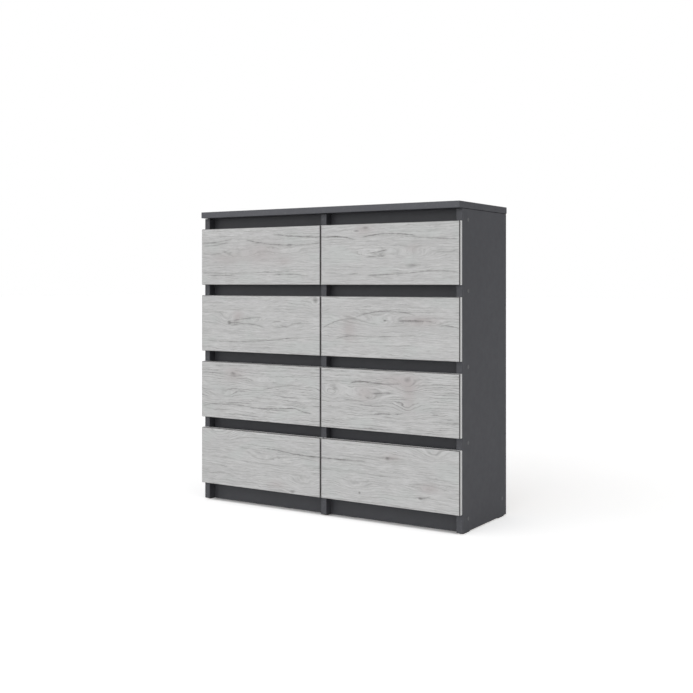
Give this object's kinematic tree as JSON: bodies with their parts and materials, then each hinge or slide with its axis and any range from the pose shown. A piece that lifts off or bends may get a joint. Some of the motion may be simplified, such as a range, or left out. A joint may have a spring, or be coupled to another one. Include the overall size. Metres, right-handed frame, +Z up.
{
  "type": "chest of drawers",
  "caption": "Free-standing chest with two columns of handle-less drawers on telescopic slides, grip gaps above the fronts and a recessed plinth.",
  "frame": {"origin": "on the floor under the centre of the chest's bounding box", "axes": "+Z up, -Y towards the user (the drawer fronts face -Y), +X to the right seen from the front"},
  "size_m": [0.8814, 0.3056, 0.883],
  "materials": {
    "graphite_laminate": "matt textured graphite laminate on chipboard",
    "oak_laminate": "matt whitewashed oak laminate with horizontal grain",
    "box_laminate": "smooth white laminate on chipboard",
    "hardboard": "brown pressed hardboard, painted on one side",
    "zinc_steel": "bright zinc plate",
    "grey_plastic": "satin moulded plastic",
    "black_plastic": "matt moulded plastic"
  },
  "bodies": {
    "carcass": {"top_panel": "graphite_laminate", "side_panel_left": "graphite_laminate", "side_panel_right": "graphite_laminate", "centre_partition": "graphite_laminate", "front_rails": "graphite_laminate", "plinth_boards": "graphite_laminate", "rear_rails": "graphite_laminate", "back_panels": "hardboard", "foot_glides": "black_plastic", "confirmat_screws": "zinc_steel", "screw_caps": "grey_plastic", "cabinet_slides": "zinc_steel"},
    "drawer_left_1": {"drawer_left_1_front": "oak_laminate", "drawer_left_1_sides": "box_laminate", "drawer_left_1_back": "box_laminate", "drawer_left_1_bottom": "hardboard", "drawer_left_1_slides": "zinc_steel"},
    "mid_slides_left_1": {"drawer_left_1_mid_slides": "zinc_steel"},
    "drawer_left_2": {"drawer_left_2_front": "oak_laminate", "drawer_left_2_sides": "box_laminate", "drawer_left_2_back": "box_laminate", "drawer_left_2_bottom": "hardboard", "drawer_left_2_slides": "zinc_steel"},
    "mid_slides_left_2": {"drawer_left_2_mid_slides": "zinc_steel"},
    "drawer_left_3": {"drawer_left_3_front": "oak_laminate", "drawer_left_3_sides": "box_laminate", "drawer_left_3_back": "box_laminate", "drawer_left_3_bottom": "hardboard", "drawer_left_3_slides": "zinc_steel"},
    "mid_slides_left_3": {"drawer_left_3_mid_slides": "zinc_steel"},
    "drawer_left_4": {"drawer_left_4_front": "oak_laminate", "drawer_left_4_sides": "box_laminate", "drawer_left_4_back": "box_laminate", "drawer_left_4_bottom": "hardboard", "drawer_left_4_slides": "zinc_steel"},
    "mid_slides_left_4": {"drawer_left_4_mid_slides": "zinc_steel"},
    "drawer_right_1": {"drawer_right_1_front": "oak_laminate", "drawer_right_1_sides": "box_laminate", "drawer_right_1_back": "box_laminate", "drawer_right_1_bottom": "hardboard", "drawer_right_1_slides": "zinc_steel"},
    "mid_slides_right_1": {"drawer_right_1_mid_slides": "zinc_steel"},
    "drawer_right_2": {"drawer_right_2_front": "oak_laminate", "drawer_right_2_sides": "box_laminate", "drawer_right_2_back": "box_laminate", "drawer_right_2_bottom": "hardboard", "drawer_right_2_slides": "zinc_steel"},
    "mid_slides_right_2": {"drawer_right_2_mid_slides": "zinc_steel"},
    "drawer_right_3": {"drawer_right_3_front": "oak_laminate", "drawer_right_3_sides": "box_laminate", "drawer_right_3_back": "box_laminate", "drawer_right_3_bottom": "hardboard", "drawer_right_3_slides": "zinc_steel"},
    "mid_slides_right_3": {"drawer_right_3_mid_slides": "zinc_steel"},
    "drawer_right_4": {"drawer_right_4_front": "oak_laminate", "drawer_right_4_sides": "box_laminate", "drawer_right_4_back": "box_laminate", "drawer_right_4_bottom": "hardboard", "drawer_right_4_slides": "zinc_steel"},
    "mid_slides_right_4": {"drawer_right_4_mid_slides": "zinc_steel"}
  },
  "joints": [
    {"name": "drawer_left_1_travel", "type": "slide", "parent": "carcass", "child": "drawer_left_1", "axis": [0, -1, 0], "range_m": [0, 0.25]},
    {"name": "mid_slides_left_1_travel", "type": "slide", "parent": "carcass", "child": "mid_slides_left_1", "axis": [0, -1, 0], "range_m": [0, 0.125]},
    {"name": "drawer_left_2_travel", "type": "slide", "parent": "carcass", "child": "drawer_left_2", "axis": [0, -1, 0], "range_m": [0, 0.25]},
    {"name": "mid_slides_left_2_travel", "type": "slide", "parent": "carcass", "child": "mid_slides_left_2", "axis": [0, -1, 0], "range_m": [0, 0.125]},
    {"name": "drawer_left_3_travel", "type": "slide", "parent": "carcass", "child": "drawer_left_3", "axis": [0, -1, 0], "range_m": [0, 0.25]},
    {"name": "mid_slides_left_3_travel", "type": "slide", "parent": "carcass", "child": "mid_slides_left_3", "axis": [0, -1, 0], "range_m": [0, 0.125]},
    {"name": "drawer_left_4_travel", "type": "slide", "parent": "carcass", "child": "drawer_left_4", "axis": [0, -1, 0], "range_m": [0, 0.25]},
    {"name": "mid_slides_left_4_travel", "type": "slide", "parent": "carcass", "child": "mid_slides_left_4", "axis": [0, -1, 0], "range_m": [0, 0.125]},
    {"name": "drawer_right_1_travel", "type": "slide", "parent": "carcass", "child": "drawer_right_1", "axis": [0, -1, 0], "range_m": [0, 0.25]},
    {"name": "mid_slides_right_1_travel", "type": "slide", "parent": "carcass", "child": "mid_slides_right_1", "axis": [0, -1, 0], "range_m": [0, 0.125]},
    {"name": "drawer_right_2_travel", "type": "slide", "parent": "carcass", "child": "drawer_right_2", "axis": [0, -1, 0], "range_m": [0, 0.25]},
    {"name": "mid_slides_right_2_travel", "type": "slide", "parent": "carcass", "child": "mid_slides_right_2", "axis": [0, -1, 0], "range_m": [0, 0.125]},
    {"name": "drawer_right_3_travel", "type": "slide", "parent": "carcass", "child": "drawer_right_3", "axis": [0, -1, 0], "range_m": [0, 0.25]},
    {"name": "mid_slides_right_3_travel", "type": "slide", "parent": "carcass", "child": "mid_slides_right_3", "axis": [0, -1, 0], "range_m": [0, 0.125]},
    {"name": "drawer_right_4_travel", "type": "slide", "parent": "carcass", "child": "drawer_right_4", "axis": [0, -1, 0], "range_m": [0, 0.25]},
    {"name": "mid_slides_right_4_travel", "type": "slide", "parent": "carcass", "child": "mid_slides_right_4", "axis": [0, -1, 0], "range_m": [0, 0.125]}
  ],
  "couplings": [
    {"joint": "mid_slides_left_1_travel", "follows": "drawer_left_1_travel", "ratio": 0.5},
    {"joint": "mid_slides_left_2_travel", "follows": "drawer_left_2_travel", "ratio": 0.5},
    {"joint": "mid_slides_left_3_travel", "follows": "drawer_left_3_travel", "ratio": 0.5},
    {"joint": "mid_slides_left_4_travel", "follows": "drawer_left_4_travel", "ratio": 0.5},
    {"joint": "mid_slides_right_1_travel", "follows": "drawer_right_1_travel", "ratio": 0.5},
    {"joint": "mid_slides_right_2_travel", "follows": "drawer_right_2_travel", "ratio": 0.5},
    {"joint": "mid_slides_right_3_travel", "follows": "drawer_right_3_travel", "ratio": 0.5},
    {"joint": "mid_slides_right_4_travel", "follows": "drawer_right_4_travel", "ratio": 0.5}
  ]
}
